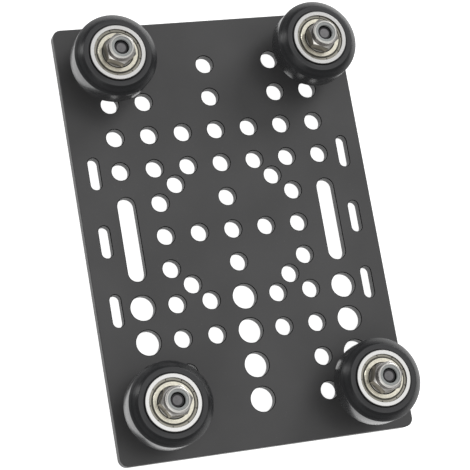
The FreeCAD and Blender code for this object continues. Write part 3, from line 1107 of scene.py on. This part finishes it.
@dataclass
class SocketScrew:
    """A low-head socket screw that points up, with its head on the floor."""

    radius: float = 2.5
    end_bevel: float = 0.7
    top: float = 26.15
    head_radius: float = 4.6
    head_height: float = 2.0
    head_rounding: float = 0.4
    socket_across_flats: float = 3.0
    socket_depth: float = 1.2
    tip_depth: float = 0.5
    thread_depth: float = 0.12
    thread_pitch: float = 0.8
    threaded: float = 4.3
    edge_angle: float = 25.0
    segments: int = 64
    tip_segments: int = 24

    def is_end(self, place: Vector, normal: Vector) -> bool:
        """Tells whether a face belongs to the screw's free end."""
        return place.z > self.top - self.end_bevel - 0.01 and normal.z > 0.1

    def build(self) -> Piece:
        """Models the screw with its socket and the thread that shows at its end."""
        rounding = self.head_rounding
        inner = self.head_radius - rounding
        profile = [(inner, 0.0)]
        for angle in (math.radians(degrees) for degrees in (22.5, 45, 67.5, 90)):
            profile.append((inner + rounding * math.sin(angle), rounding - rounding * math.cos(angle)))
        height = self.top - self.threaded
        profile += [(self.head_radius, self.head_height), (self.radius, self.head_height), (self.radius, height)]
        while height + self.thread_pitch < self.top - self.end_bevel:
            profile.append((self.radius - self.thread_depth, height + self.thread_pitch / 2))
            profile.append((self.radius, height + self.thread_pitch))
            height += self.thread_pitch
        profile += [(self.radius, self.top - self.end_bevel), (self.radius - self.end_bevel, self.top)]
        screw = turned_shell("screw", profile, self.segments, Ends.CAPPED)
        depth = self.socket_depth
        combine(screw, hexagon_bar("socket_cutter", self.socket_across_flats, -BEYOND, depth), Cut.AWAY)
        # A drilled tip, just narrower than the socket and starting just above its floor.
        tip = [(self.socket_across_flats / 2 * 0.98, depth - 0.05), (0.05, depth + self.tip_depth)]
        combine(screw, turned_shell("socket_tip", tip, self.tip_segments, Ends.CAPPED), Cut.AWAY)
        smooth(screw, self.edge_angle)
        return screw


@dataclass
class Spacers:
    """The round and the eccentric spacer, at their own heights."""

    bottom: float = 5.0
    length: float = 6.35
    bore_radius: float = 2.55
    round_radius: float = 5.0
    bevel: float = 0.3
    softened: float = 0.05
    across_flats: float = 10.0
    corner_angle: float = 30.0
    boss_radius: float = 3.56
    boss_bottom: float = 2.5
    boss_bevel: float = 0.15
    boss_overlap: float = 0.5
    offset: float = 0.79
    edge_angle: float = 25.0
    segments: int = 64

    def build_round(self) -> Piece:
        """Models the plain spacer."""
        bottom, bore, outer, bevel = self.bottom, self.bore_radius, self.round_radius, self.bevel
        top = bottom + self.length
        profile = [(bore, bottom), (outer - bevel, bottom), (outer, bottom + bevel)]
        profile += [(outer, top - bevel), (outer - bevel, top), (bore, top)]
        spacer = turned_shell("round_spacer", profile, self.segments)
        break_edges(spacer, self.softened)
        smooth(spacer)
        return spacer

    def build_eccentric(self) -> Piece:
        """Models the hexagonal spacer about its boss, with its bore towards +X."""
        top = self.bottom + self.length
        angles = (self.corner_angle, self.corner_angle)
        name, across = "eccentric_spacer", self.across_flats
        spacer = chamfered_hexagon(name, across, (self.bottom, top), angles, self.segments)
        boss = [
            (self.boss_radius - self.boss_bevel, self.boss_bottom),
            (self.boss_radius, self.boss_bottom + self.boss_bevel),
            (self.boss_radius, self.bottom + self.boss_overlap),
        ]
        combine(spacer, turned_shell("spacer_boss", boss, self.segments, Ends.CAPPED), Cut.ONTO)
        ends = [(self.bore_radius, self.boss_bottom - BEYOND), (self.bore_radius, top + BEYOND)]
        bore = turned_shell("spacer_bore", ends, self.segments, Ends.CAPPED)
        bore.data.transform(Matrix.Translation((self.offset * MM, 0, 0)))
        combine(spacer, bore, Cut.AWAY)
        smooth(spacer, self.edge_angle)
        return spacer


@dataclass
class Station:
    """One wheel with everything that holds it, at its place in the frame."""

    name: str
    spacing: Spacing
    nut_turn: float
    shield_turn: float
    spacer_turn: float = 0.0
    stack_bottom: float = 11.35
    bearing_width: float = 5.0
    shim: float = 1.0

    def dress(self, masters: dict[str, Piece], materials: dict[str, Material]) -> None:
        """Places a copy of every modelled piece and gives the small CAD pieces their finish.

        Args:
            masters: The pieces as modelled, by kind.
            materials: The finishes, by slot.
        """
        low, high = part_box(self.name + "_wheel")
        x, y, middle = (Vector(low) + Vector(high)) / 2 / MM
        is_round = self.spacing is Spacing.ROUND
        turning = self.name + "_wheel_set"
        holder = "carriage" if is_round else self.name + "_eccentric_set"
        upper = self.stack_bottom + self.bearing_width + self.shim
        top = upper + self.bearing_width
        rows = [("", "wheel", (x, y, middle), 0.0, turning, "wheel_black")]
        for level, height in ((Level.LOWER, self.stack_bottom), (Level.UPPER, upper)):
            place, prefix = (x, y, height), level.value + "_"
            rows += [
                (prefix, "outer_ring", place, self.shield_turn, turning, "ring_steel"),
                (prefix, "shields", place, self.shield_turn, turning, "shield_steel"),
                (prefix, "inner_ring", place, self.shield_turn, holder, "ring_steel"),
            ]
        rows += [
            ("", "lock_nut", (x, y, top), self.nut_turn, holder, "nut_steel"),
            ("", "nut_insert", (x, y, top), self.nut_turn, holder, "nut_nylon"),
            ("", "screw", (x, y, 0), self.nut_turn, holder, "screw_steel"),
        ]
        # The eccentric spacer turns about its plate hole, beside the wheel's axis.
        offset = 0.0 if is_round else Spacers().offset
        angle = math.radians(self.spacer_turn)
        hole = (x - offset * math.cos(angle), y - offset * math.sin(angle), 0)
        slot = "spacer_aluminium" if is_round else "spacer_steel"
        rows.append(("", self.spacing.value, hole, self.spacer_turn, holder, slot))
        for prefix, kind, place, turn, body, slot in rows:
            node = f"{self.name}_{prefix}{kind}"
            seat(placed_copy(masters[kind], node + "_skin", place, turn), body, node, slot)
        for kind, slot in (("balls", "ball_steel"), ("ball_cages", "cage_steel"), ("shim", "ball_steel")):
            for material_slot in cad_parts[f"{self.name}_{kind}"].material_slots:
                material_slot.material = materials[slot]


@dataclass(frozen=True)
class Lamp:
    """A round soft box that looks at the object, in degrees, millimetres and watts."""

    name: str
    azimuth: float
    elevation: float
    distance: float
    size: float
    power: float

    def hang(self) -> None:
        """Puts the lamp in the scene."""
        data = bpy.data.lights.new(self.name, "AREA")
        data.shape = "DISK"
        data.size = self.size * MM
        data.energy = self.power
        lamp = bpy.data.objects.new(self.name, data)
        lamp.location = direction(self.azimuth, self.elevation) * self.distance * MM
        lamp.rotation_euler = lamp.location.to_track_quat("Z", "Y").to_euler()
        bpy.context.scene.collection.objects.link(lamp)


@dataclass
class Studio:
    """The white floor, the soft light and the camera."""

    target: tuple[float, float, float] = (0.706, -1.598, 3.5)
    distance: float = 540.99
    elevation: float = 68.008
    azimuth: float = -148.221
    roll: float = -50.153
    lens: float = 143.34
    sensor: float = 36.0
    floor_size: float = 600.0
    floor_tone: float = 0.82
    floor_glow: float = 0.92
    sky_azimuth: float = -50.0
    sky_elevation: float = 78.0
    lamps: tuple[Lamp, ...] = (
        Lamp("key_light", azimuth=42, elevation=34, distance=1600, size=700, power=8.5),
        Lamp("front_fill", azimuth=222, elevation=50, distance=1200, size=800, power=2.2),
        Lamp("left_strip", azimuth=146, elevation=20, distance=560, size=170, power=0.4),
    )

    def build(self) -> None:
        """Sets up the whole studio."""
        self._camera()
        self._floor()
        self._world()
        for lamp in self.lamps:
            lamp.hang()
        bpy.context.scene.view_settings.view_transform = "Standard"

    def _camera(self) -> None:
        """Puts the camera where the photograph was taken from."""
        back = direction(self.azimuth, self.elevation)
        level = Vector((0, 0, 1)).cross(back).normalized()
        roll = math.radians(self.roll)
        up = math.cos(roll) * back.cross(level) + math.sin(roll) * level
        data = bpy.data.cameras.new("photo_camera")
        data.sensor_width = self.sensor
        data.lens = self.lens
        data.clip_start = 0.01
        data.clip_end = 20.0
        camera = bpy.data.objects.new("photo_camera", data)
        turn = Matrix((up.cross(back), up, back)).transposed().to_4x4()
        camera.matrix_world = Matrix.Translation((Vector(self.target) + back * self.distance) * MM) @ turn
        bpy.context.scene.collection.objects.link(camera)
        bpy.context.scene.camera = camera

    def _floor(self) -> None:
        """Lays a white floor that shows as the background and keeps the object's soft shadow."""
        clear_selection()
        bpy.ops.mesh.primitive_plane_add(size=self.floor_size * MM)
        floor = added("studio_floor")
        material = bpy.data.materials.new("floor_white")
        material.use_nodes = True
        material.node_tree.nodes.clear()
        recipe = Recipe(material.node_tree)
        diffuse = recipe.add("ShaderNodeBsdfDiffuse", {"Color": (*3 * (self.floor_tone,), 1.0)})
        seen = recipe.seen_by("Is Camera Ray", "Is Glossy Ray", "Is Transmission Ray")
        strength = recipe.math("MULTIPLY", seen, self.floor_glow)
        glow = recipe.add("ShaderNodeEmission", {"Color": (1.0, 1.0, 1.0, 1.0), "Strength": strength})
        both = recipe.add("ShaderNodeAddShader", {0: diffuse.outputs[0], 1: glow.outputs[0]})
        recipe.add("ShaderNodeOutputMaterial", {"Surface": both.outputs[0]})
        floor.data.materials.append(material)
        floor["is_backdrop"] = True

    def _world(self) -> None:
        """Surrounds the object with soft light, brightest near the top of the sky, and white for the camera."""
        world = bpy.data.worlds.new("studio_light")
        bpy.context.scene.world = world
        world.use_nodes = True
        world.node_tree.nodes.clear()
        recipe = Recipe(world.node_tree)
        towards = recipe.add("ShaderNodeTexCoord").outputs["Generated"]
        middle = tuple(direction(self.sky_azimuth, self.sky_elevation))
        nearness = recipe.add("ShaderNodeVectorMath", {0: towards, 1: middle}, operation="DOT_PRODUCT").outputs["Value"]
        light = recipe.span(nearness, 0.72, 0.95, 0.15, 1.05)
        seen = recipe.seen_by("Is Camera Ray", "Is Transmission Ray")
        strength = recipe.add("ShaderNodeMix", {0: seen, 2: light, 3: 1.0}, data_type="FLOAT").outputs[0]
        background = recipe.add("ShaderNodeBackground", {"Color": (1.0, 1.0, 1.0, 1.0), "Strength": strength})
        recipe.add("ShaderNodeOutputWorld", {"Surface": background.outputs[0]})


def build_masters(materials: dict[str, Material]) -> dict[str, Piece]:
    """Models and coats each repeated piece once.

    Args:
        materials: The finishes, by slot.

    Returns:
        The pieces by kind.
    """
    wheel, bearing, nut, screw, spacers = GroovedWheel(), BallBearing(), LockNut(), SocketScrew(), Spacers()
    recipes = {
        "wheel": (wheel.build, "wheel_black", ("wheel_tread", wheel.is_tread), ("wheel_bevel_shade", wheel.is_bevel)),
        "outer_ring": (
            bearing.build_outer_ring,
            "ring_steel",
            ("grease_and_shade_steel", bearing.is_under_shields),
            ("ring_edge_shade", bearing.is_edge),
        ),
        "inner_ring": (bearing.build_inner_ring, "inner_ring_steel", ("grease_and_shade_steel", bearing.is_under_shields)),
        "shields": (bearing.build_shields, "shield_steel"),
        "lock_nut": (
            nut.build_nut,
            "nut_steel",
            ("collar_lip_highlight", nut.is_lip),
            ("nut_flat_shade", nut.is_flat),
            ("nut_corner_highlight", nut.is_corner),
        ),
        "nut_insert": (nut.build_insert, "nut_nylon"),
        "screw": (screw.build, "screw_steel", ("screw_end_steel", screw.is_end)),
        "spacer": (spacers.build_round, "spacer_aluminium"),
        "eccentric_spacer": (spacers.build_eccentric, "spacer_steel"),
    }
    masters = {}
    for kind, (build, slot, *others) in recipes.items():
        masters[kind] = build()
        coat(masters[kind], materials[slot], *((materials[other], wanted) for other, wanted in others))
    return masters


def main() -> None:
    """Builds the studio, the plate and the four wheel stations."""
    logging.basicConfig(level=logging.INFO, format="%(message)s")
    Studio().build()
    effects = Effects()
    materials = {finish.name: finish.material(effects) for finish in FINISHES}
    panel = PlatePanel()
    plate = panel.build()
    # Hole walls and hole rims take darker colours than the plate as painted shade.
    cut, rim = materials["anodised_wall_shade"], materials["anodised_rim_shade"]
    coat(plate, materials["black_anodised"], (cut, panel.is_wall), (rim, panel.is_hole_rim))
    seat(plate, "carriage", "plate", "black_anodised")
    masters = build_masters(materials)
    stations = (
        Station("top_left", Spacing.ROUND, nut_turn=35, shield_turn=21),
        Station("top_right", Spacing.ROUND, nut_turn=38, shield_turn=39),
        Station("bottom_left", Spacing.ECCENTRIC, nut_turn=2, shield_turn=20, spacer_turn=153),
        Station("bottom_right", Spacing.ECCENTRIC, nut_turn=10, shield_turn=16, spacer_turn=262),
    )
    for station in stations:
        station.dress(masters, materials)
        LOG.info("%s is dressed", station.name)
    for master in masters.values():
        bpy.data.objects.remove(master)
    boxes = {"cad": CAD_BOX, "visual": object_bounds()}
    sizes = {name: [[float(value) for value in corner] for corner in box] for name, box in boxes.items()}


if __name__ == "__main__":
    main()
